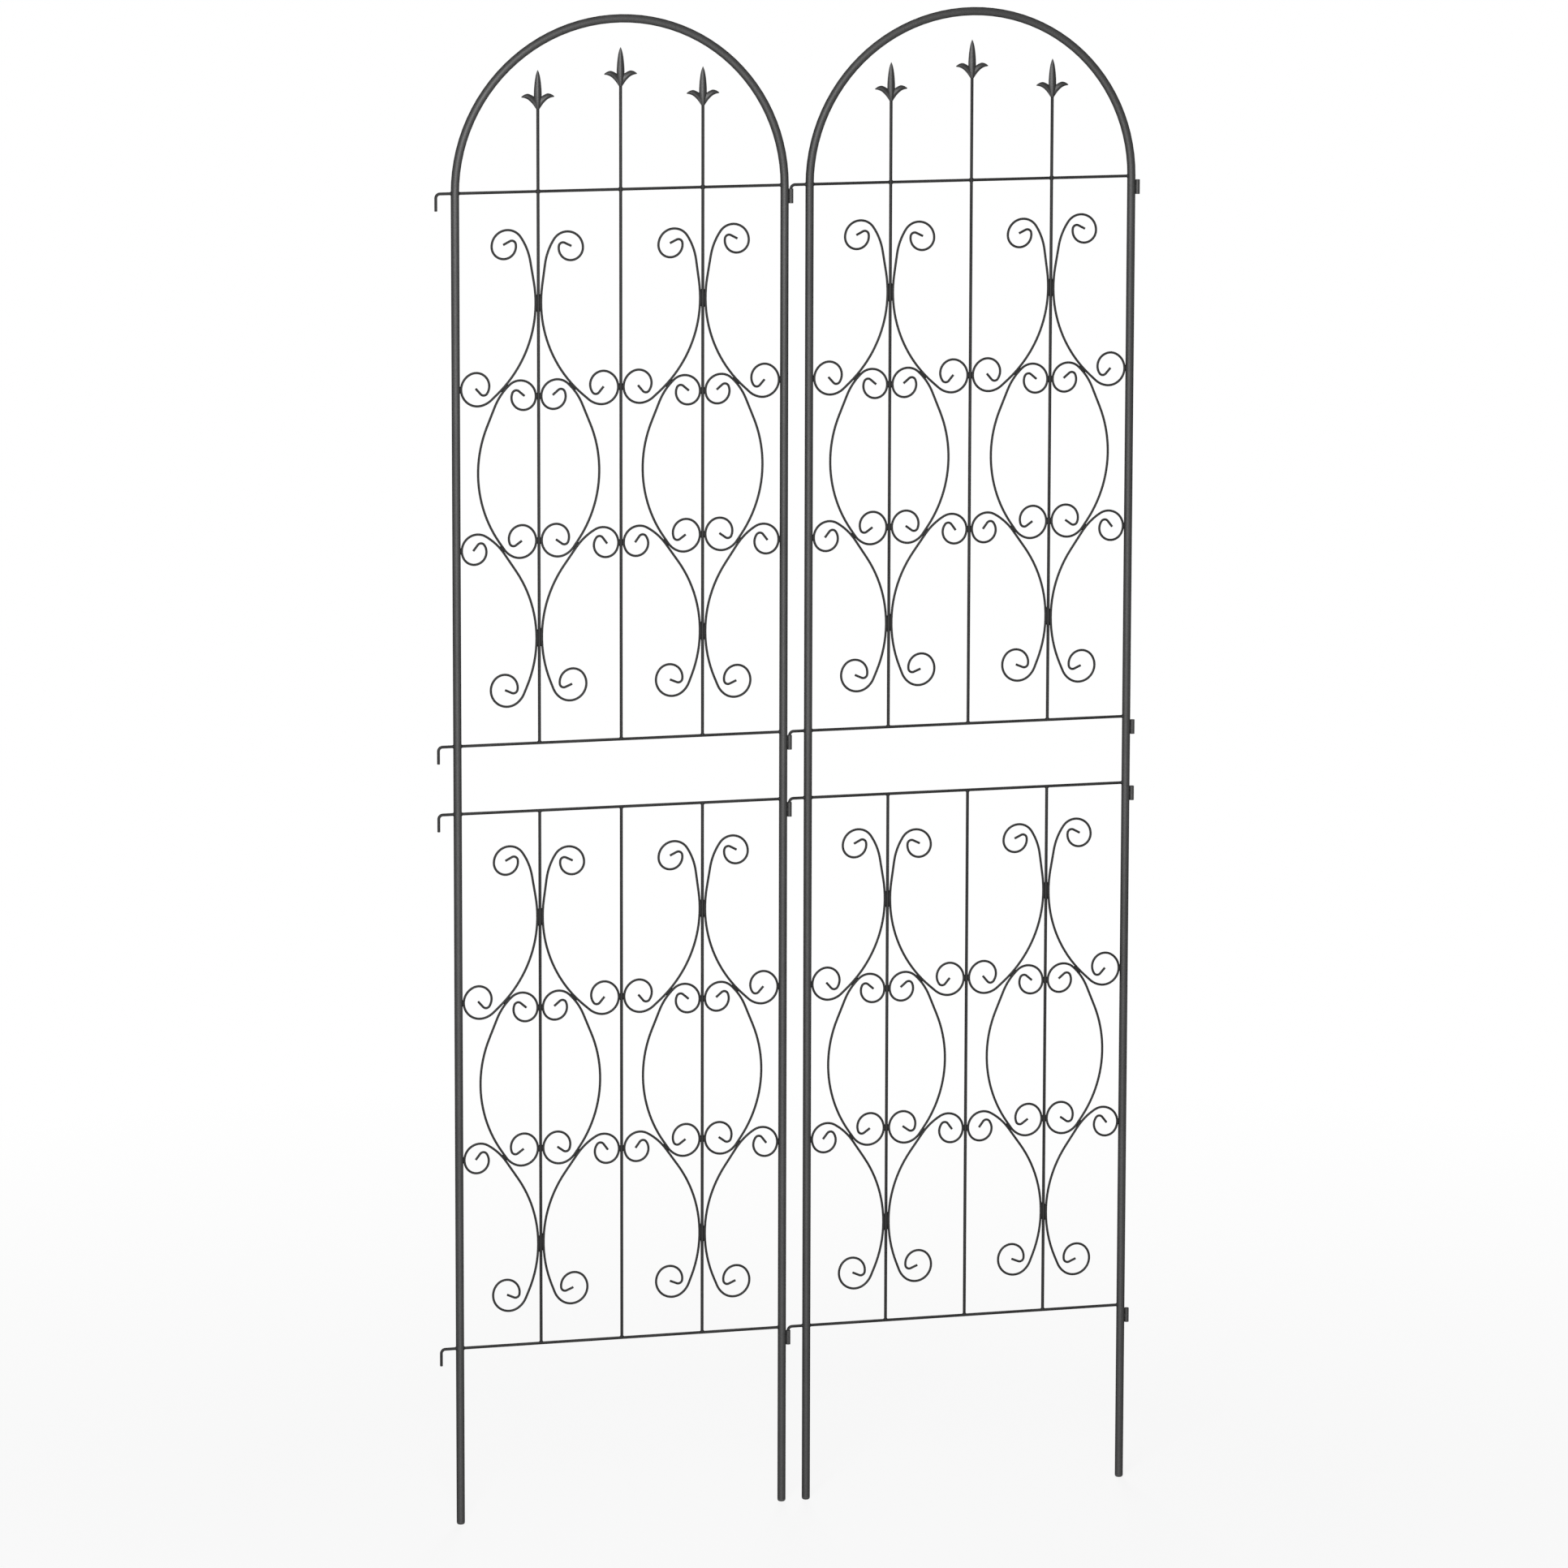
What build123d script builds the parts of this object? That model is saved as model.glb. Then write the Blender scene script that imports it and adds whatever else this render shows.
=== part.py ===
from build123d import *
import cmath
import os
from math import radians

# Garden trellis of two arch-topped panels, hooked side by side so that one panel can swing on the other.
# Millimetres. X runs along the panels, Z is up, the front faces -Y, and the origin is on the ground
# under the middle of the whole set.

# Panel frame
PANEL_WIDTH = 500.0  # over the posts
POST_D = 12.0
POST_WALL = 1.0
LEG_LENGTH = 264.0  # ground to the bottom rail, pushed into the soil
LOWER_FIELD = 790.0  # bottom rail to the lower waist rail
WAIST_GAP = 99.0  # between the two waist rails
UPPER_FIELD = 797.0  # upper waist rail to the top rail, where the arch begins
RAIL_D = 4.2
BAR_D = 4.4
WELD_GAP = 0.15  # left between round rods that are welded side by side

# Plug joint that splits each post between the waist rails
SPIGOT_LENGTH = 50.0  # on either side of the joint
SPIGOT_PLAY = 0.05  # radial, in the upper post
SPIGOT_CHAMFER = 1.0

# Rounded caps on the feet
CAP_HEIGHT = 4.0
CAP_ROUNDING = 3.0
CAP_PLUG = 14.0

# Hooks on the left post and rings on the right post
HOOK_REACH = 28.0  # post axis to tail axis
HOOK_BEND_R = 6.0
HOOK_DROP = 25.0  # rail axis to the tail's end
HOOK_CHAMFER = 0.5
RING_PLAY = 0.4  # radial, round the hook's tail
RING_WALL = 1.0
RING_HEIGHT = 21.0
RING_BELOW_RAIL = 5.5  # rail axis to the ring's top
RING_WELD_WIDTH = 3.0

# Finials on stems above the top rail
SIDE_STEM = 117.0
MIDDLE_STEM = 147.0
SPEAR_HEIGHT = 56.0
SPEAR_HALF_WIDTH = 5.8
SPEAR_HALF_DEPTH = 3.6
LEAF_REACH = 24.2
LEAF_HALF_DEPTH = 3.2

# One scroll rod, the same for all: a tail, the small eye, the long back, the large eye and a tail.
SCROLL_D = 3.4
TAIL = 10.9
TAIL_BEND_R = 6.0
SMALL_EYE_R = 17.9
SMALL_THROAT_R = 23.3
SMALL_EASE_R = 87.4
SMALL_STRAIGHT = 30.8
BACK_R = 176.8
LARGE_STRAIGHT = 11.9
LARGE_EASE_R = 31.8
LARGE_THROAT_R = 24.3
LARGE_EYE_R = 19.4
SCROLL_TURNS = (107.0, 188.0, 148.0, 25.0, 57.0, 32.0, 163.0, 151.0, 105.0)  # degrees, bend by bend

# Places worked out from the sizes above
POST_PITCH = PANEL_WIDTH - POST_D
BAR_PITCH = POST_PITCH / 4
ARCH_R = POST_PITCH / 2
BOTTOM_RAIL_Z = LEG_LENGTH
LOWER_WAIST_Z = BOTTOM_RAIL_Z + LOWER_FIELD
UPPER_WAIST_Z = LOWER_WAIST_Z + WAIST_GAP
TOP_RAIL_Z = UPPER_WAIST_Z + UPPER_FIELD
JOINT_Z = (LOWER_WAIST_Z + UPPER_WAIST_Z) / 2
POST_BORE = POST_D - 2 * POST_WALL
RING_BORE = RAIL_D + 2 * RING_PLAY
RING_D = RING_BORE + 2 * RING_WALL
RING_OFFSET = POST_D / 2 + RING_D / 2
PANEL_PITCH = POST_PITCH + RING_OFFSET + HOOK_REACH
LEFT_REACH = HOOK_REACH + RAIL_D / 2
RIGHT_REACH = PANEL_PITCH + POST_PITCH + RING_OFFSET + RING_D / 2
FIRST_POST_X = (LEFT_REACH - RIGHT_REACH) / 2
BAR_NAMES = {"left": BAR_PITCH, "middle": 2 * BAR_PITCH, "right": 3 * BAR_PITCH}

SCROLL = [
    (TAIL, 0.0),
    (TAIL_BEND_R, SCROLL_TURNS[0]),
    (SMALL_EYE_R, SCROLL_TURNS[1]),
    (SMALL_THROAT_R, SCROLL_TURNS[2]),
    (SMALL_EASE_R, SCROLL_TURNS[3]),
    (SMALL_STRAIGHT, 0.0),
    (BACK_R, SCROLL_TURNS[4]),
    (LARGE_STRAIGHT, 0.0),
    (LARGE_EASE_R, SCROLL_TURNS[5]),
    (LARGE_THROAT_R, SCROLL_TURNS[6]),
    (LARGE_EYE_R, SCROLL_TURNS[7]),
    (TAIL_BEND_R, SCROLL_TURNS[8]),
    (TAIL, 0.0),
]
FINE_STEPS = 60  # points per leg of the scroll where contacts are worked out
ARC_STEPS = 4  # points per leg where the rod is drawn: two arcs to a bend
SOLVE_ROUNDS = 60
SLIDE_ROUNDS = 40


# Plain rods and tubes
def rod_along_x(x_from, x_to, z, diameter):
    middle = Plane(origin=(x_from, 0, z), z_dir=(1, 0, 0))
    return extrude(middle * Circle(diameter / 2), amount=x_to - x_from)


def rod_along_z(x, z_from, z_to, diameter):
    return extrude(Plane.XY.offset(z_from) * Pos(x, 0) * Circle(diameter / 2), amount=z_to - z_from)


def swept(path, section):
    return sweep(Plane(origin=path @ 0, z_dir=path % 0) * section, path=path)


def arch_path():
    left_leg = Line((0, 0, JOINT_Z), (0, 0, TOP_RAIL_Z))
    crown = ThreePointArc(
        (0, 0, TOP_RAIL_Z), (ARCH_R, 0, TOP_RAIL_Z + ARCH_R), (POST_PITCH, 0, TOP_RAIL_Z)
    )
    right_leg = Line((POST_PITCH, 0, TOP_RAIL_Z), (POST_PITCH, 0, JOINT_Z))
    return Wire([left_leg, crown, right_leg])


def frame_outside():
    """The posts and the arch as solid rods, used to cope what is welded to them."""
    arch = swept(arch_path(), Circle(POST_D / 2))
    posts = [rod_along_z(x, 0, JOINT_Z, POST_D) for x in (0, POST_PITCH)]
    return [arch] + posts


def arch_tube():
    return swept(arch_path(), Circle(POST_D / 2) - Circle(POST_BORE / 2))


def lower_post(x):
    outside = rod_along_z(x, CAP_HEIGHT, JOINT_Z, POST_D)
    return outside - rod_along_z(x, CAP_HEIGHT, JOINT_Z, POST_BORE)


def rail(z, outside):
    return rod_along_x(0, POST_PITCH, z, RAIL_D) - outside


def bar(x, z_from, z_to):
    """A bar between two rails, coped to both."""
    ends = [rod_along_x(x - BAR_D, x + BAR_D, z, RAIL_D) for z in (z_from, z_to)]
    return rod_along_z(x, z_from, z_to, BAR_D) - ends


def stem(x, height):
    foot = rod_along_x(x - BAR_D, x + BAR_D, TOP_RAIL_Z, RAIL_D)
    return rod_along_z(x, TOP_RAIL_Z, TOP_RAIL_Z + height, BAR_D) - foot


def spigot(x):
    """Pin fixed in the lower post; its upper half is a sliding fit in the upper post."""
    fixed = rod_along_z(x, JOINT_Z - SPIGOT_LENGTH, JOINT_Z, POST_BORE)
    free = rod_along_z(x, JOINT_Z, JOINT_Z + SPIGOT_LENGTH, POST_BORE - 2 * SPIGOT_PLAY)
    tip = free.faces().sort_by(Axis.Z)[-1].edges()
    return fixed + chamfer(tip, SPIGOT_CHAMFER)


def foot_cap(x):
    head = rod_along_z(x, 0, CAP_HEIGHT, POST_D)
    head = fillet(head.faces().sort_by(Axis.Z)[0].edges(), CAP_ROUNDING)
    return head + rod_along_z(x, CAP_HEIGHT, CAP_HEIGHT + CAP_PLUG, POST_BORE)


# Hooks and rings that join the panels
def hook(z, outside):
    tail_x = -HOOK_REACH
    corner = tail_x + HOOK_BEND_R
    bend_low = z - HOOK_BEND_R
    run = Line((0, 0, z), (corner, 0, z))
    bend = TangentArc((corner, 0, z), (tail_x, 0, bend_low), tangent=(-1, 0, 0))
    tail = Line((tail_x, 0, bend_low), (tail_x, 0, z - HOOK_DROP))
    bent = swept(Wire([run, bend, tail]), Circle(RAIL_D / 2))
    tip = bent.faces().sort_by(Axis.Z)[0].edges()
    return chamfer(tip, HOOK_CHAMFER) - outside


def ring(z, outside):
    x = POST_PITCH + RING_OFFSET
    top = z - RING_BELOW_RAIL
    low = top - RING_HEIGHT
    weld_plan = Pos(x - RING_OFFSET / 2, 0) * Rectangle(RING_OFFSET, RING_WELD_WIDTH)
    weld = extrude(Plane.XY.offset(low) * weld_plan, amount=RING_HEIGHT)
    sleeve = rod_along_z(x, low, top, RING_D) + (weld - outside)
    return sleeve - rod_along_z(x, low, top, RING_BORE)


# Finials
def lozenge(plane, half_width, half_depth):
    corners = [(half_width, 0), (0, half_depth), (-half_width, 0), (0, -half_depth)]
    return plane * make_face(Polyline(*corners, close=True))


def spear():
    """Ridged blade: shares of the height, and of the half width and half depth there."""
    shares = [(0, 0.38), (0.16, 0.8), (0.37, 1), (0.62, 0.87), (0.82, 0.6), (0.93, 0.3), (1, 0.06)]
    faces = [
        lozenge(Plane.XY.offset(up * SPEAR_HEIGHT), wide * SPEAR_HALF_WIDTH, wide * SPEAR_HALF_DEPTH)
        for up, wide in shares
    ]
    return loft(faces)


def leaf():
    """Drooping leaf on the blade's right: shares of its reach, then of the height at either edge."""
    edges = [(0.02, 0.016, 0.337), (0.25, 0.114, 0.352), (0.46, 0.198, 0.384)]
    edges += [(0.66, 0.273, 0.388), (0.85, 0.298, 0.352), (1, 0.295, 0.307)]
    faces = []
    for out, low, high in edges:
        half = (high - low) * SPEAR_HEIGHT / 2
        depth = min(LEAF_HALF_DEPTH, half)
        middle = (low + high) * SPEAR_HEIGHT / 2
        place = Plane(origin=(out * LEAF_REACH, 0, middle), x_dir=(0, 0, 1), z_dir=(1, 0, 0))
        faces.append(lozenge(place, half, depth))
    return loft(faces)


def finial(x, stem_height):
    right = leaf()
    whole = spear() + right + mirror(right, about=Plane.YZ)
    return Pos(x, 0, TOP_RAIL_Z + stem_height) * whole


# Scroll rods, first as points x + iz in the plane of the panel
def walk(steps):
    """Points along the scroll rod from the small eye, with each straight and each bend in equal steps."""
    at, way = 0j, 1 + 0j
    points = [at]
    for size, turn in SCROLL:
        step = cmath.exp(1j * radians(turn) / steps)
        for _ in range(steps):
            at += way * (size * (step - 1) / 1j if turn else size / steps)
            way *= step
            points.append(at)
    return points


def turned(points, angle, flipped=False):
    """Points turned by an angle in degrees, after a left-right flip if asked."""
    spin = cmath.exp(1j * radians(angle))
    return [(-p.conjugate() if flipped else p) * spin for p in points]


def moved(points, by):
    return [p + by for p in points]


def solve(error, low, high):
    """Where a rising error passes zero, by halving the span."""
    for _ in range(SOLVE_ROUNDS):
        middle = (low + high) / 2
        if error(middle) < 0:
            low = middle
        else:
            high = middle
    return (low + high) / 2


def span_x(points):
    across = [p.real for p in points]
    return min(across), max(across)


def span_z(points):
    up = [p.imag for p in points]
    return min(up), max(up)


def upright_angle():
    """Turn at which both eyes stand equally far out, so that both touch the bar."""
    rod = walk(FINE_STEPS)
    half = len(rod) // 2

    def eye_difference(angle):
        placed = turned(rod, angle)
        return span_x(placed[half:])[1] - span_x(placed[:half])[1]

    return solve(eye_difference, 110, 170)


def leaning_angle(upright, lean_way, reach):
    """Lean at which the flipped rod just reaches from its bar to the next post or bar."""
    rod = walk(FINE_STEPS)

    def short_by(lean):
        low, high = span_x(turned(rod, lean_way * lean - upright, flipped=True))
        return high - low - reach

    return lean_way * solve(short_by, 0, 60) - upright


def slid_to_touch(rod, other, way):
    """Height at which a rod line, brought in from above (way 1) or below (way -1), lies against another."""
    apart = SCROLL_D + WELD_GAP
    room = rod.bounding_box().size.Z + other.bounding_box().size.Z
    lift = way * room
    for _ in range(SLIDE_ROUNDS):
        lift -= way * ((Pos(0, 0, lift) * rod).distance_to(other) - apart)
    return lift


def scroll_layout(neighbour_d):
    """Angle, flip and shift of the crown, oval and base rods left of a bar whose neighbour is that thick."""
    at_bar = -(BAR_D + SCROLL_D) / 2 - WELD_GAP
    reach = BAR_PITCH - (BAR_D + neighbour_d) / 2 - SCROLL_D - 2 * WELD_GAP
    upright = upright_angle()
    rod = walk(FINE_STEPS)
    oval = turned(rod, upright)
    low, high = span_z(oval)
    oval_shift = at_bar - span_x(oval)[1] - 1j * (low + high) / 2
    layout = {"oval": (upright, False, oval_shift)}
    oval_line = scroll_line(*layout["oval"])
    for name, lean_way in (("crown", -1), ("base", 1)):
        angle = leaning_angle(upright, lean_way, reach)
        across = at_bar - span_x(turned(rod, angle, flipped=True))[1]
        lift = slid_to_touch(scroll_line(angle, True, across), oval_line, -lean_way)
        layout[name] = (angle, True, across + 1j * lift)
    return layout


def scroll_line(angle, flipped, shift):
    """Centre line of a scroll rod at its place."""
    points = [(p.real, 0, p.imag) for p in moved(turned(walk(ARC_STEPS), angle, flipped), shift)]
    edges = []
    for leg, (_, turn) in enumerate(SCROLL):
        first = leg * ARC_STEPS
        half = first + ARC_STEPS // 2
        last = first + ARC_STEPS
        if turn:
            edges.append(ThreePointArc(points[first], points[first + 1], points[half]))
            edges.append(ThreePointArc(points[half], points[half + 1], points[last]))
        else:
            edges.append(Line(points[first], points[last]))
    return Wire(edges)


def scroll_rod(angle, flipped, shift):
    return swept(scroll_line(angle, flipped, shift), Circle(SCROLL_D / 2))


def scroll_sets():
    """Rods of each kind round the left and right bars of one panel, about height zero."""
    beside_post = scroll_layout(POST_D)
    beside_bar = scroll_layout(BAR_D)
    sets = {}
    for kind in ("crown", "oval", "base"):
        outer = Pos(BAR_PITCH, 0, 0) * scroll_rod(*beside_post[kind])
        inner = Pos(-BAR_PITCH, 0, 0) * mirror(scroll_rod(*beside_bar[kind]), about=Plane.YZ)
        left_pair = [outer, Pos(2 * BAR_PITCH, 0, 0) * inner]
        to_right = Plane.YZ.offset(ARCH_R)
        sets[kind] = left_pair + [mirror(rod, about=to_right) for rod in left_pair]
    return sets


# Sections of one panel
def upper_section(outside, scrolls):
    field_middle = (UPPER_WAIST_Z + TOP_RAIL_Z) / 2
    rails = (UPPER_WAIST_Z, TOP_RAIL_Z)
    stems = {"left": SIDE_STEM, "middle": MIDDLE_STEM, "right": SIDE_STEM}
    nodes = {
        "arch_tube": [arch_tube()],
        "top_rail": [rail(TOP_RAIL_Z, outside)],
        "upper_waist_rail": [rail(UPPER_WAIST_Z, outside)],
        "finial_stems": [stem(BAR_NAMES[name], height) for name, height in stems.items()],
        "upper_hooks": [hook(z, outside) for z in rails],
        "upper_rings": [ring(z, outside) for z in rails],
    }
    for name, x in BAR_NAMES.items():
        nodes[f"upper_bar_{name}"] = [bar(x, UPPER_WAIST_Z, TOP_RAIL_Z)]
        nodes[f"finial_{name}"] = [finial(x, stems[name])]
    for kind, rods in scrolls.items():
        nodes[f"upper_{kind}_scrolls"] = [Pos(0, 0, field_middle) * rod for rod in rods]
    return nodes


def lower_section(outside, scrolls):
    field_middle = (BOTTOM_RAIL_Z + LOWER_WAIST_Z) / 2
    rails = (BOTTOM_RAIL_Z, LOWER_WAIST_Z)
    posts = {"left": 0, "right": POST_PITCH}
    nodes = {
        "bottom_rail": [rail(BOTTOM_RAIL_Z, outside)],
        "lower_waist_rail": [rail(LOWER_WAIST_Z, outside)],
        "lower_hooks": [hook(z, outside) for z in rails],
        "lower_rings": [ring(z, outside) for z in rails],
        "spigots": [spigot(x) for x in posts.values()],
        "foot_caps": [foot_cap(x) for x in posts.values()],
    }
    for name, x in posts.items():
        nodes[f"lower_post_{name}"] = [lower_post(x)]
    for name, x in BAR_NAMES.items():
        nodes[f"lower_bar_{name}"] = [bar(x, BOTTOM_RAIL_Z, LOWER_WAIST_Z)]
    for kind, rods in scrolls.items():
        nodes[f"lower_{kind}_scrolls"] = [Pos(0, 0, field_middle) * rod for rod in rods]
    return nodes


def main():
    os.makedirs("parts", exist_ok=True)
    outside = frame_outside()
    scrolls = scroll_sets()
    panel = upper_section(outside, scrolls) | lower_section(outside, scrolls)
    for side, post_x in (("left", FIRST_POST_X), ("right", FIRST_POST_X + PANEL_PITCH)):
        for name, pieces in panel.items():
            solids = [solid for piece in pieces for solid in (Pos(post_x, 0, 0) * piece).solids()]
            export_step(Compound(children=solids), f"parts/{side}_{name}.step")


main()
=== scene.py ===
from math import copysign, cos, radians, sin, tau
from operator import mul

import bmesh
import bpy
from mathutils import Matrix, Vector, noise
from mathutils.bvhtree import BVHTree


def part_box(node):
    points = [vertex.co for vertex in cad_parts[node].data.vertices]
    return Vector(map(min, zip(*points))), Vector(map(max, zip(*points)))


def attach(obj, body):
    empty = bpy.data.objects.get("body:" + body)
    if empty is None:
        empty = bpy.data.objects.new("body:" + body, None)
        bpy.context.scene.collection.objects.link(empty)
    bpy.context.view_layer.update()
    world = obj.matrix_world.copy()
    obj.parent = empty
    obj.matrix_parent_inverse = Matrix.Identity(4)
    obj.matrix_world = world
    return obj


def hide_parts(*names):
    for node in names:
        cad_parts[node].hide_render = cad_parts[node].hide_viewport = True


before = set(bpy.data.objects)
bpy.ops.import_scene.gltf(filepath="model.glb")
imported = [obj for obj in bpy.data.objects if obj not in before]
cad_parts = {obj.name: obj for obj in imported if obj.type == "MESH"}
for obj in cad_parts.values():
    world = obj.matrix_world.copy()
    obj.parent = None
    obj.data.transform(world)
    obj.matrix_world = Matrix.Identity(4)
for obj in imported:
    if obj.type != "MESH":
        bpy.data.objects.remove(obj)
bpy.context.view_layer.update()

# Sizes in metres, in the frame of the trellis: X along the panels, Z up, the front towards -Y
MM = 0.001
DEEP = Vector((0, 1, 0))
UPRIGHT = Vector((0, 0, 1))
SIDES = ("left", "right")
LEVELS = ("upper", "lower")
BAR_NAMES = ("left", "middle", "right")
SCROLL_NAMES = ("crown", "oval", "base")
SAME_SPOT = 1e-6  # corners of a mesh that lie this close are one

# Weld beads in general
BEAD_SUBDIVISIONS = 2
LUMP = 0.16  # share of a bead's size by which its surface swells and sinks
LUMP_SCALE = 520.0  # cells of the lumps' noise to the metre

# Tacks, where scrolls meet other rods
TACK_GAP = 1.2 * MM  # rods that come this close are tacked
MIDDLE_BAND = 0.5 * MM  # as near to the panel's middle plane as tacks are looked for
EDGE_PARTS = 8  # places looked at along each edge of a rod's mesh
TACK_SPACING = 24 * MM  # nearer places belong to the same tack
TACK_HALF = (1.25 * MM, 1.3 * MM)  # across and deep
TACK_SHARE = 0.72  # of the length over which the rods lie that close

# Beads in the corners between upright rods and rails
CORNER_HALF = Vector((1.0 * MM, 1.15 * MM, 0.9 * MM))

# Collars, where rails and hooks meet posts; the profile gives shares of the length and of the flare
COLLAR_LENGTH = 1.7 * MM
COLLAR_FLARE = 1.1 * MM
COLLAR_PROFILE = ((-0.35, 1.0), (0.1, 0.72), (0.4, 0.3), (0.75, 0.08), (1.0, -0.12))
COLLAR_SIDES = 20
COLLAR_LUMP = 2.2 * LUMP

# Runs of weld in the grooves between rings and posts
SEAM_HALF = Vector((0.95 * MM, 0.8 * MM, 3.2 * MM))
SEAM_INSET = 4.5 * MM  # from a ring's end to the middle of the run
SEAM_OUT = 0.45 * MM  # from the post's face
SEAM_ASIDE = 2.0 * MM  # from the panel's middle plane

# Spear of a cast finial: shares of the height, and of the half width and half depth there
SPEAR = (
    (0, 0.38, 0.55), (0.16, 0.82, 0.9), (0.37, 1, 1), (0.62, 0.87, 0.87),
    (0.82, 0.6, 0.6), (0.93, 0.32, 0.32), (1, 0.04, 0.04),
)
SPEAR_HALF_WIDTH = 5.8 * MM

# Leaf of a cast finial: shares of its reach, of the height at both edges, and of its half depth
LEAF = (
    (0.0, -0.03, 0.3, 0.4), (0.09, 0.0, 0.31, 0.5), (0.25, 0.098, 0.335, 0.75),
    (0.4, 0.177, 0.372, 0.95), (0.6, 0.252, 0.402, 1), (0.8, 0.292, 0.384, 0.8),
    (0.95, 0.304, 0.346, 0.45), (1, 0.311, 0.327, 0.15),
)
LEAF_HALF_DEPTH = 3.2 * MM

# Skin of a cast finial
EDGE_POWER = 1.4  # 1 gives a round section and 2 a sharp lozenge
CASTING_SIDES = 24
CASTING_STEPS = 6  # rings from one station to the next

# Floor and world
FLOOR_RADIUS = 40.0
FLOOR_SIDES = 96
FLOOR_TONE = 0.55
FLOOR_GLOW = 0.88  # share of plain white in what the camera sees of the floor near the set
FLOOR_FADE = (0.8, 3.0)  # distances from the middle of the set over which that share grows to 1
WORLD_LIGHT = 0.07

# Lamps: where each stands, where it is aimed, its width and height, and its power in watts
SOFTBOXES = {
    "front_softbox": ((-1.35, -2.95, 2.6), (0, 0, 1.2), (1.0, 1.0), 125),
    "low_front_softbox": ((-1.0, -3.0, 0.35), (0, 0, 0.6), (1.4, 0.7), 42),
    "back_softbox": ((0.9, 3.1, 2.6), (0, 0, 1.2), (1.0, 1.0), 100),
}

# Camera, fitted to the posts, rails and arches of the photographed set
IMAGE_PX = 1932
FOCAL_PX = 10073.1
SENSOR_MM = 36.0
CAMERA_AT = Vector((-3.2824, -11.2622, 3.1126))
YAW, PITCH, ROLL = radians(16.2071), radians(9.8524), radians(0.1409)

# Sockets of the Mix node for colours, by number because their names repeat
MIX_SHARE, MIX_FIRST, MIX_SECOND, MIX_RESULT = 0, 6, 7, 2


class Shade:
    """A socket in a node tree. Arithmetic on it adds Math nodes, and node() adds any other."""

    def __init__(self, tree, socket=None):
        self.tree = tree
        self.socket = socket

    def node(self, kind, settings=None, inputs=None, output=0):
        """Adds a node, with its settings and the values or links of its sockets. Gives one output."""
        made = self.tree.nodes.new("ShaderNode" + kind)
        for name, value in (settings or {}).items():
            setattr(made, name, value)
        for name, value in (inputs or {}).items():
            if isinstance(value, Shade):
                self.tree.links.new(value.socket, made.inputs[name])
            else:
                made.inputs[name].default_value = value
        return Shade(self.tree, made.outputs[output] if made.outputs else None)

    def maths(self, operation, first, second, clamp=False):
        return self.node("Math", {"operation": operation, "use_clamp": clamp}, {0: first, 1: second})

    def __add__(self, other):
        return self.maths("ADD", self, other)

    def __radd__(self, other):
        return self.maths("ADD", other, self)

    def __sub__(self, other):
        return self.maths("SUBTRACT", self, other)

    def __rsub__(self, other):
        return self.maths("SUBTRACT", other, self)

    def __mul__(self, other):
        return self.maths("MULTIPLY", self, other)

    def __rmul__(self, other):
        return self.maths("MULTIPLY", other, self)

    def between(self, low, high):
        """0 at low and 1 at high, even between them and level beyond."""
        return self.maths("MULTIPLY", self - low, 1 / (high - low), clamp=True)

    def blend(self, first, second):
        """Colour between two others, by this share."""
        sockets = {MIX_SHARE: self, MIX_FIRST: first, MIX_SECOND: second}
        return self.node("Mix", {"data_type": "RGBA"}, sockets, MIX_RESULT)

    def blend_shaders(self, first, second):
        """Shader between two others, by this share."""
        return self.node("MixShader", inputs={0: self, 1: first, 2: second})

    def grain(self, size, detail=3.0, rough=0.55, stretch=None):
        """Noise whose features are about that size in metres, from coordinates in metres."""
        place = self.node("Mapping", inputs={"Vector": self, "Scale": stretch}) if stretch else self
        sockets = {"Vector": place, "Scale": 1 / size, "Detail": detail, "Roughness": rough}
        return self.node("TexNoise", inputs=sockets, output="Fac")


def new_material(name):
    """Material with no nodes yet but the one for the place on its object, in metres."""
    material = bpy.data.materials.new(name)
    material.use_nodes = True
    material.node_tree.nodes.clear()
    return material, Shade(material.node_tree).node("TexCoord", output="Object")


def close_surface(place, colour, gloss, relief, strength, depth, constants):
    """Ends a material: one surface with its colour, its roughness and a bump for its relief."""
    bump = place.node("Bump", inputs={"Strength": strength, "Distance": depth, "Height": relief})
    sockets = {"Base Color": colour, "Roughness": gloss, "Normal": bump, **constants}
    surface = place.node("BsdfPrincipled", inputs=sockets)
    place.node("OutputMaterial", inputs={"Surface": surface})


def grey(level, warm=0.0):
    """Grey that leans to red where it is warm."""
    return (level * (1 + warm), level, level * (1 - warm), 1)


WHITE = grey(1.0)
NOISE_MIDDLE = 0.5

# Metal flake in the coat: a sheen that faces the light and no glare along the edges
COAT_SHEEN = {"Metallic": 0.9, "Specular Tint": grey(0.08), "Specular IOR Level": 0.01}

# Powder coat: marks come up over a span of their noise, and tones are multiples of the coat's own
SPECKLE_SIZE = 0.6 * MM
PATCH_SIZE = 22 * MM
DRIFT_SIZE = 140 * MM
DRIFT_SPAN = (0.3, 0.7)
DRIFT_TONES = (0.9, 1.1)
DRIFT_WARMTH = 0.004
# Painted shade: the hollows of the orange peel are darkened in the coat's colour
PAINTED_HOLLOW_SHADE_SPAN = (0.52, 0.34)
PAINTED_HOLLOW_SHADE_SHARE = 0.4
PAINTED_HOLLOW_SHADE_TONE = 0.62
FLECK_SPAN = (0.54, 0.68)
FLECK_SHARE = 0.55
FLECK_TONE = 1.75
DUST_SPAN = (0.42, 0.7)
DUST_SLOPE = (0.35, 1.0)  # how far upwards a surface faces for dust to settle
DUST_SHARE = 0.22
DUST_COLOUR = grey(0.2, 0.03)
PATCH_GLOSS = 0.1
SPECKLE_GLOSS = 0.08
DUST_GLOSS = 0.08
SPECKLE_RELIEF = 0.35
PEEL_STRENGTH = 0.8


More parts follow.
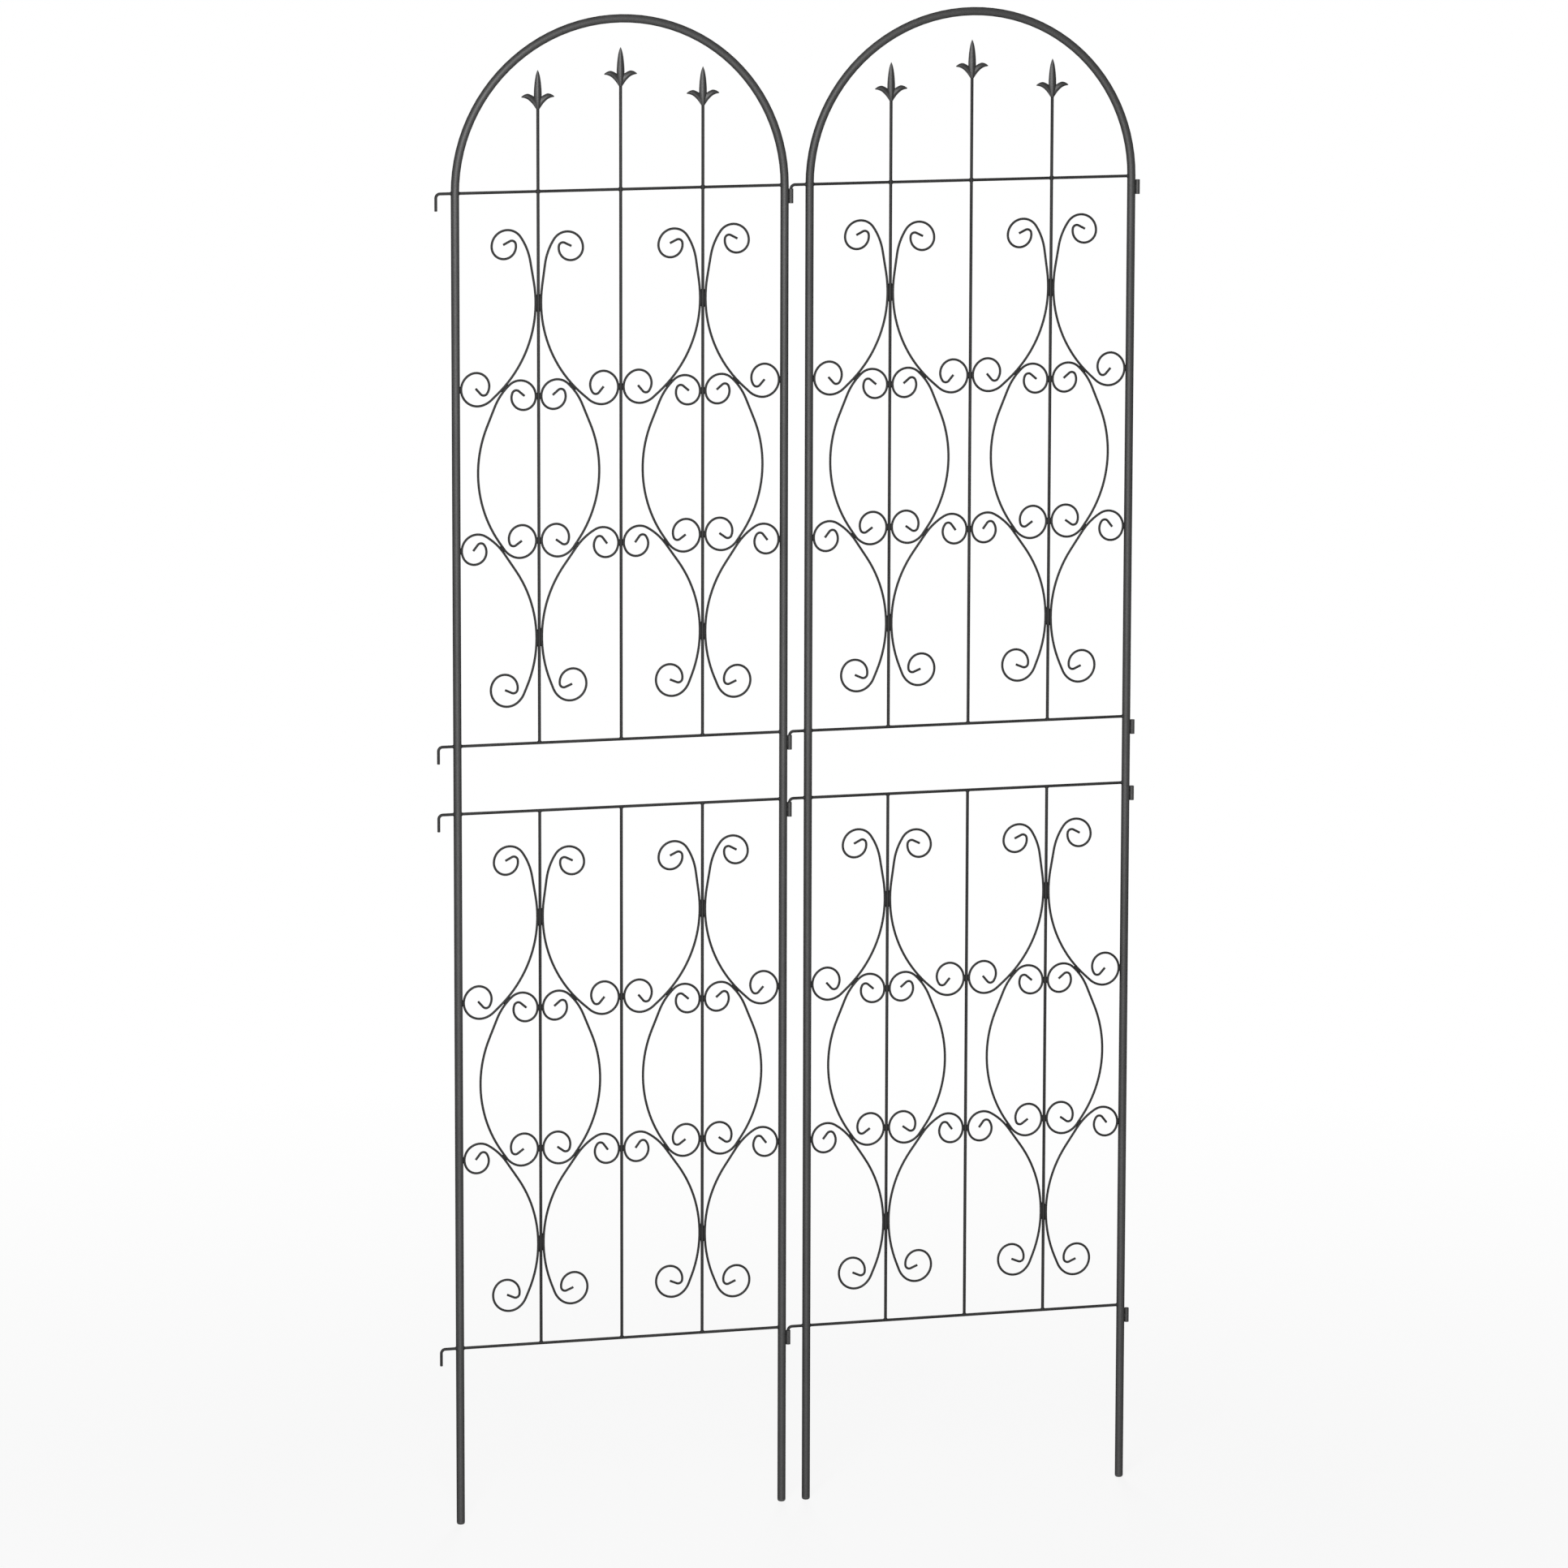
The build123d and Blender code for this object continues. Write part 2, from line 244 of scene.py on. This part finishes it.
def powder_coat(name, tone, rough, peel_size, peel_depth):
    """Satin charcoal powder coat: orange peel with painted shade in its hollows, fine speckle, slow
    drifts of tone and a little dust.
    """
    material, place = new_material(name)
    peel = place.grain(peel_size, detail=2.0)
    speckle = place.grain(SPECKLE_SIZE, detail=2.0)
    drift = place.grain(DRIFT_SIZE, detail=4.0)
    patch = place.grain(PATCH_SIZE)
    facing = place.node("NewGeometry", output="Normal")
    up = place.node("SeparateXYZ", inputs={"Vector": facing}, output="Z")
    dust = up.between(*DUST_SLOPE) * patch.between(*DUST_SPAN)
    dark, pale = (grey(tone * share, DRIFT_WARMTH) for share in DRIFT_TONES)
    charcoal = drift.between(*DRIFT_SPAN).blend(dark, pale)
    # Painted shade: darker where the orange peel sinks, as if its hollows were shadowed
    hollow_shaded = (peel.between(*PAINTED_HOLLOW_SHADE_SPAN) * PAINTED_HOLLOW_SHADE_SHARE).blend(charcoal, grey(tone * PAINTED_HOLLOW_SHADE_TONE))
    flecked = (speckle.between(*FLECK_SPAN) * FLECK_SHARE).blend(hollow_shaded, grey(tone * FLECK_TONE))
    dusty = (dust * DUST_SHARE).blend(flecked, DUST_COLOUR)
    worn = (patch - NOISE_MIDDLE) * PATCH_GLOSS
    grainy = (speckle - NOISE_MIDDLE) * SPECKLE_GLOSS
    gloss = rough + worn + grainy + dust * DUST_GLOSS
    relief = peel + speckle * SPECKLE_RELIEF
    close_surface(place, dusty, gloss, relief, PEEL_STRENGTH, peel_depth, COAT_SHEEN)
    return material


# Coat over weld metal
RIPPLE_SIZE = 1.3 * MM
RIPPLE_SPAN = (0.3, 0.75)
RIPPLE_TONES = (0.75, 1.15)
RIPPLE_STRENGTH = 0.7
RIPPLE_DEPTH = 0.25 * MM
POOL_SIZE = 6 * MM
POOL_GLOSS = 0.16


def weld_coat(name, tone, rough):
    """The same coat lying thicker over rippled weld metal."""
    material, place = new_material(name)
    ripple = place.grain(RIPPLE_SIZE, rough=0.6)
    pool = place.grain(POOL_SIZE, detail=2.0)
    dark, pale = (grey(tone * share) for share in RIPPLE_TONES)
    colour = ripple.between(*RIPPLE_SPAN).blend(dark, pale)
    gloss = rough + (pool - NOISE_MIDDLE) * POOL_GLOSS
    close_surface(place, colour, gloss, ripple, RIPPLE_STRENGTH, RIPPLE_DEPTH, COAT_SHEEN)
    return material


# Moulded caps
MOULD_SIZE = 0.8 * MM
MOULD_GLOSS = 0.12
MOULD_STRENGTH = 0.4
MOULD_DEPTH = 0.08 * MM
SCUFF_SIZE = 2.5 * MM
SCUFF_SPAN = (0.5, 0.72)
SCUFF_HEIGHT = 3 * MM  # above the ground, where the scuffs end
SCUFF_SHARE = 0.5
SCUFF_TONE = 1.9
SCUFF_WARMTH = 0.02
SCUFF_GLOSS = 0.2
CAP_SHINE = {"Specular IOR Level": 0.35}


def cap_plastic(name, tone, rough):
    """Moulded foot cap, scuffed a little towards the ground."""
    material, place = new_material(name)
    height = place.node("SeparateXYZ", inputs={"Vector": place}, output="Z")
    moulded = place.grain(MOULD_SIZE, detail=2.0)
    scrapes = place.grain(SCUFF_SIZE, detail=4.0, rough=0.7).between(*SCUFF_SPAN)
    scuff = scrapes * (1 - height.between(0.0, SCUFF_HEIGHT))
    colour = (scuff * SCUFF_SHARE).blend(grey(tone), grey(tone * SCUFF_TONE, SCUFF_WARMTH))
    gloss = rough + (moulded - NOISE_MIDDLE) * MOULD_GLOSS + scuff * SCUFF_GLOSS
    close_surface(place, colour, gloss, moulded, MOULD_STRENGTH, MOULD_DEPTH, CAP_SHINE)
    return material


# Drawn steel
LINE_SIZE = 0.35 * MM
LINE_STRETCH = (1, 1, 0.02)
LINE_SPAN = (0.3, 0.7)
LINE_COLOURS = (grey(0.1, 0.01), grey(0.17, 0.01))
LINE_GLOSS = 0.2
LINE_STRENGTH = 0.3
LINE_DEPTH = 0.03 * MM
RUB_SIZE = 9 * MM
RUB_SPAN = (0.45, 0.65)
RUB_GLOSS = 0.14
BARE_METAL = {"Metallic": 1.0}


def drawn_steel(name, rough):
    """Dark oiled bar with fine drawn lines along its length and dull rubbed patches."""
    material, place = new_material(name)
    lines = place.grain(LINE_SIZE, detail=2.0, rough=0.6, stretch=LINE_STRETCH)
    rubbed = place.grain(RUB_SIZE).between(*RUB_SPAN)
    colour = lines.between(*LINE_SPAN).blend(*LINE_COLOURS)
    gloss = rough + (lines - NOISE_MIDDLE) * LINE_GLOSS + rubbed * RUB_GLOSS
    close_surface(place, colour, gloss, lines, LINE_STRENGTH, LINE_DEPTH, BARE_METAL)
    return material


# Finishes
TUBE = powder_coat(
    "charcoal_tube_coat", tone=0.056, rough=0.56, peel_size=1.6 * MM, peel_depth=0.3 * MM
)
ROD = powder_coat(
    "charcoal_rod_coat", tone=0.028, rough=0.58, peel_size=1.1 * MM, peel_depth=0.2 * MM
)
CASTING = powder_coat(
    "charcoal_casting_coat", tone=0.05, rough=0.5, peel_size=1.2 * MM, peel_depth=0.18 * MM
)
WELD = weld_coat("charcoal_weld_coat", tone=0.03, rough=0.6)
CAP = cap_plastic("charcoal_cap_plastic", tone=0.04, rough=0.52)
STEEL = drawn_steel("drawn_spigot_steel", rough=0.4)

# Finishes by a word in a solid's name; the rest are rods, and finials that castings stand for
FINISHES = {"spigots": STEEL, "foot_caps": CAP, "arch_tube": TUBE, "lower_post": TUBE, "rings": TUBE}


def finish_for(node):
    """Finish of a solid."""
    return next((finish for word, finish in FINISHES.items() if word in node), ROD)


def middle_and_half(node):
    """Middle of a node's box, and half of its size."""
    low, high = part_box(node)
    return (low + high) / 2, (high - low) / 2


def skin(mesh, sections):
    """Closed skin through sections with the same number of points."""
    rings = [[mesh.verts.new(point) for point in section] for section in sections]
    for first, second in zip(rings, rings[1:]):
        for i in range(len(first)):
            mesh.faces.new((first[i - 1], first[i], second[i], second[i - 1]))
    mesh.faces.new(rings[0])
    mesh.faces.new(rings[-1])


def new_object(name, mesh, material):
    """Object in the scene from a mesh in the making, which is used up."""
    data = bpy.data.meshes.new(name)
    mesh.to_mesh(data)
    mesh.free()
    data.materials.append(material)
    made = bpy.data.objects.new(name, data)
    bpy.context.scene.collection.objects.link(made)
    return made


def smooth_piece(name, mesh, material):
    """Piece with smooth shading and its faces turned outwards."""
    bmesh.ops.recalc_face_normals(mesh, faces=mesh.faces)
    piece = new_object(name, mesh, material)
    piece.data.shade_smooth()
    return piece


# Weld beads
def blob(mesh, at, half, along=UPRIGHT):
    """Lumpy bead: half sizes across, deep and along, with the last one laid along a direction."""
    across = DEEP.cross(along).normalized()
    axes = Matrix((across, DEEP, along.normalized())).transposed().to_4x4()
    form = Matrix.Translation(at) @ axes @ Matrix.Diagonal((*half, 1))
    made = bmesh.ops.create_icosphere(mesh, subdivisions=BEAD_SUBDIVISIONS, radius=1.0, matrix=form)
    for vert in made["verts"]:
        swell = LUMP * noise.noise(vert.co * LUMP_SCALE)
        vert.co = at + (vert.co - at) * (1 + swell)


def collar(mesh, at, way, radius):
    """Flared bead round a rod along X that butts on a post: from the post's wall outwards."""
    sections = []
    for out, flare in COLLAR_PROFILE:
        middle = Vector((at.x + way * out * COLLAR_LENGTH, at.y, at.z))
        section = []
        for step in range(COLLAR_SIDES):
            angle = step * tau / COLLAR_SIDES
            turn = Vector((0, cos(angle), sin(angle)))
            # The noise is read a metre out, where it differs from one corner to the next
            lump = 1 + COLLAR_LUMP * noise.noise((middle + turn) * LUMP_SCALE)
            section.append(middle + turn * (radius + COLLAR_FLARE * flare * lump))
        sections.append(section)
    skin(mesh, sections)


def edge_points(node):
    """Points along the edges of a node's mesh, near the middle plane of the panel, where rods meet."""
    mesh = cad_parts[node].data
    points = []
    for edge in mesh.edges:
        first, second = (mesh.vertices[i].co for i in edge.vertices)
        if min(abs(first.y), abs(second.y)) < MIDDLE_BAND:
            points += [first.lerp(second, step / EDGE_PARTS) for step in range(EDGE_PARTS)]
    return [point for point in points if abs(point.y) < MIDDLE_BAND]


def wall_of(node):
    """A node's surface, in a form that finds the nearest spot on it."""
    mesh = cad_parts[node].data
    faces = [tuple(face.vertices) for face in mesh.polygons]
    return BVHTree.FromPolygons([vert.co for vert in mesh.vertices], faces)


def add_tacks(mesh, points, wall):
    """Beads where a rod's points come close to another rod's wall, as long as the rods lie together."""
    near = []
    for point in points:
        found, _, _, gap = wall.find_nearest(point, TACK_GAP)
        if found is not None:
            middle, across = (point + found) / 2, found - point
            middle.y = across.y = 0.0
            near.append((gap, middle, across))
    near.sort(key=lambda entry: entry[0])
    groups = []
    for _, middle, across in near:
        for first, way, group in groups:
            if (middle - first).length < TACK_SPACING and across.dot(way) > 0:
                group.append(middle)
                break
        else:
            groups.append((middle, across, [middle]))
    for first, way, group in groups:
        along = way.normalized().cross(DEEP)
        places = [(middle - first).dot(along) for middle in group]
        low, high = min(places), max(places)
        half = (*TACK_HALF, TACK_SHARE * (high - low) / 2)
        blob(mesh, first + along * (low + high) / 2, half, along)


def add_scroll_tacks(mesh, section, others):
    """Tacks between a section's scrolls and the posts and bars beside them, and among the scrolls."""
    points = {kind: edge_points(f"{section}_{kind}_scrolls") for kind in SCROLL_NAMES}
    walls = [wall_of(node) for node in others]
    for kind in SCROLL_NAMES:
        for wall in walls:
            add_tacks(mesh, points[kind], wall)
    oval_wall = wall_of(f"{section}_oval_scrolls")
    for kind in ("crown", "base"):
        add_tacks(mesh, points[kind], oval_wall)


def add_corners(mesh, bar, rail, rise):
    """Beads on both sides of an upright rod, on top of a rail (rise 1) or under it (rise -1)."""
    bar_middle, bar_half = middle_and_half(bar)
    rail_middle, rail_half = middle_and_half(rail)
    for way in (-1, 1):
        at = Vector((bar_middle.x + way * bar_half.x, 0, rail_middle.z + rise * rail_half.z))
        blob(mesh, at, CORNER_HALF)


def solid_heights(node):
    """Lowest and highest Z of each separate solid in a node."""
    mesh = bmesh.new()
    mesh.from_mesh(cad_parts[node].data)
    bmesh.ops.remove_doubles(mesh, verts=mesh.verts, dist=SAME_SPOT)
    seen = set()
    spans = []
    for start in mesh.verts:
        if start in seen:
            continue
        seen.add(start)
        solid = [start]
        for vert in solid:
            fresh = {edge.other_vert(vert) for edge in vert.link_edges} - seen
            seen |= fresh
            solid += fresh
        heights = [vert.co.z for vert in solid]
        spans.append((min(heights), max(heights)))
    mesh.free()
    return spans


def add_ring_seams(mesh, rings, post_face):
    """Short weld runs at both ends of each ring, in the groove between it and its post."""
    for low, high in solid_heights(rings):
        for z in (low + SEAM_INSET, high - SEAM_INSET):
            for way in (-1, 1):
                blob(mesh, Vector((post_face + SEAM_OUT, way * SEAM_ASIDE, z)), SEAM_HALF)


def weld_metal(side, level):
    """All beads of one section of a panel, in one piece that rides on that section."""
    name = f"{side}_{level}"
    left_post, right_post = f"{side}_lower_post_left", f"{side}_lower_post_right"
    if level == "upper":
        posts = (f"{side}_arch_tube",)
        low_rail, high_rail = f"{side}_upper_waist_rail", f"{side}_top_rail"
    else:
        posts = (left_post, right_post)
        low_rail, high_rail = f"{side}_bottom_rail", f"{side}_lower_waist_rail"
    bars = [f"{name}_bar_{place}" for place in BAR_NAMES]
    mesh = bmesh.new()
    add_scroll_tacks(mesh, name, (*posts, *bars))
    for bar in bars:
        add_corners(mesh, bar, low_rail, 1)
        add_corners(mesh, bar, high_rail, -1)
    # The arch tube's legs stand in line with the lower posts
    left_outside, left_inside = (corner.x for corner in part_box(left_post))
    right_inside, right_outside = (corner.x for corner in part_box(right_post))
    for rail in (low_rail, high_rail):
        middle, half = middle_and_half(rail)
        for face, way in ((left_inside, 1), (right_inside, -1), (left_outside, -1)):
            collar(mesh, Vector((face, 0, middle.z)), way, half.z)
    add_ring_seams(mesh, f"{name}_rings", right_outside)
    if level == "upper":
        # The finial stems stand on the top rail in line with the bars
        for bar in bars:
            add_corners(mesh, bar, high_rail, 1)
    piece = smooth_piece(f"{name}_weld_beads", mesh, WELD)
    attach(piece, name)


# Finials
def eased(stations):
    """Smooth run of values through the stations, each a tuple of numbers."""
    ends = [stations[0], *stations, stations[-1]]
    run = []
    for four in zip(ends, ends[1:], ends[2:], ends[3:]):
        for step in range(CASTING_STEPS):
            t = step / CASTING_STEPS
            # Shares of four stations on a cubic that runs through the middle two
            shares = (
                ((2 - t) * t - 1) * t / 2,
                ((3 * t - 5) * t * t + 2) / 2,
                ((4 - 3 * t) * t + 1) * t / 2,
                (t - 1) * t * t / 2,
            )
            run.append(tuple(sum(map(mul, shares, values)) for values in zip(*four)))
    return [*run, stations[-1]]


def soft_lozenge(half_width, half_depth):
    """Points round a lozenge with softened edges."""
    points = []
    for step in range(CASTING_SIDES):
        angle = tau * step / CASTING_SIDES
        wide, deep = (copysign(abs(turn) ** EDGE_POWER, turn) for turn in (cos(angle), sin(angle)))
        points.append((half_width * wide, half_depth * deep))
    return points


def cast_finial(side, place):
    """Spear with a soft ridge and two drooping leaves, as long and as wide as its solid."""
    node = f"{side}_finial_{place}"
    low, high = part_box(node)
    x, height = (low.x + high.x) / 2, high.z - low.z
    reach, spear_depth = (high.x - low.x) / 2, (high.y - low.y) / 2
    mesh = bmesh.new()
    spear = []
    for up, wide, thick in eased(SPEAR):
        ring = soft_lozenge(wide * SPEAR_HALF_WIDTH, thick * spear_depth)
        spear.append([(x + across, deep, low.z + up * height) for across, deep in ring])
    skin(mesh, spear)
    right_leaf = eased(LEAF)
    left_leaf = [(-out, *rest) for out, *rest in right_leaf[:0:-1]]
    leaves = []
    for out, bottom, top, thick in left_leaf + right_leaf:
        half = (top - bottom) * height / 2
        middle = low.z + (bottom + top) * height / 2
        ring = soft_lozenge(half, thick * LEAF_HALF_DEPTH)
        # The roots of the leaves are cut level with the foot of the spear
        leaves.append([(x + out * reach, deep, max(middle + rise, low.z)) for rise, deep in ring])
    skin(mesh, leaves)
    piece = smooth_piece(f"{node}_casting", mesh, CASTING)
    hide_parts(node)
    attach(piece, f"{side}_upper")


# Surroundings
def shown(start):
    """1 for rays that show a surface to the camera, also by reflection, and 0 for rays that light it."""
    names = ("Is Camera Ray", "Is Glossy Ray", "Is Transmission Ray")
    camera, glossy, through = (start.node("LightPath", output=name) for name in names)
    return start.maths("MAXIMUM", start.maths("MAXIMUM", camera, glossy), through)


def pale_floor():
    """Floor that keeps the faint shadow of the set and fades into the white behind it."""
    material, place = new_material("pale_floor")
    away = place.node("VectorMath", {"operation": "LENGTH"}, {0: place}, "Value")
    paint = place.node("BsdfDiffuse", inputs={"Color": grey(FLOOR_TONE)})
    white = place.node("Emission", inputs={"Color": WHITE, "Strength": 1.0})
    share = shown(place) * (FLOOR_GLOW + (1 - FLOOR_GLOW) * away.between(*FLOOR_FADE))
    place.node("OutputMaterial", inputs={"Surface": share.blend_shaders(paint, white)})
    mesh = bmesh.new()
    bmesh.ops.create_circle(mesh, cap_ends=True, segments=FLOOR_SIDES, radius=FLOOR_RADIUS)
    floor = new_object("floor", mesh, material)


def soft_world():
    """World that is white to look at and lights the set only a little."""
    world = bpy.data.worlds.new("studio")
    bpy.context.scene.world = world
    world.use_nodes = True
    world.node_tree.nodes.clear()
    start = Shade(world.node_tree)
    soft = start.node("Background", inputs={"Color": WHITE, "Strength": WORLD_LIGHT})
    white = start.node("Background", inputs={"Color": WHITE, "Strength": 1.0})
    start.node("OutputWorld", inputs={"Surface": shown(start).blend_shaders(soft, white)})


def softbox(name, at, aim, size, power):
    """Flat lamp that faces the point it is aimed at."""
    light = bpy.data.lights.new(name, "AREA")
    light.shape = "RECTANGLE"
    light.size, light.size_y = size
    light.energy = power
    lamp = bpy.data.objects.new(name, light)
    lamp.location = at
    lamp.rotation_euler = (Vector(aim) - Vector(at)).to_track_quat("-Z", "Y").to_euler()
    bpy.context.scene.collection.objects.link(lamp)


def photo_camera():
    """Camera that looks at the set as the photo does: turned, tilted down and rolled a little."""
    ahead = Vector((sin(YAW) * cos(PITCH), cos(YAW) * cos(PITCH), -sin(PITCH)))
    level = Vector((cos(YAW), -sin(YAW), 0))
    upright = level.cross(ahead)
    right = level * cos(ROLL) + upright * sin(ROLL)
    up = upright * cos(ROLL) - level * sin(ROLL)
    data = bpy.data.cameras.new("photo_view")
    data.sensor_width = SENSOR_MM
    data.lens = SENSOR_MM * FOCAL_PX / IMAGE_PX
    camera = bpy.data.objects.new("photo_view", data)
    turn = Matrix((right, up, -ahead)).transposed().to_4x4()
    camera.matrix_world = Matrix.Translation(CAMERA_AT) @ turn
    bpy.context.scene.collection.objects.link(camera)
    bpy.context.scene.camera = camera


# The set
for node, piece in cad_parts.items():
    piece.data.materials.clear()
    piece.data.materials.append(finish_for(node))
for side in SIDES:
    for level in LEVELS:
        weld_metal(side, level)
    for place in BAR_NAMES:
        cast_finial(side, place)

# The studio
pale_floor()
soft_world()
for name, setting in SOFTBOXES.items():
    softbox(name, *setting)
photo_camera()
bpy.context.scene.view_settings.view_transform = "Standard"
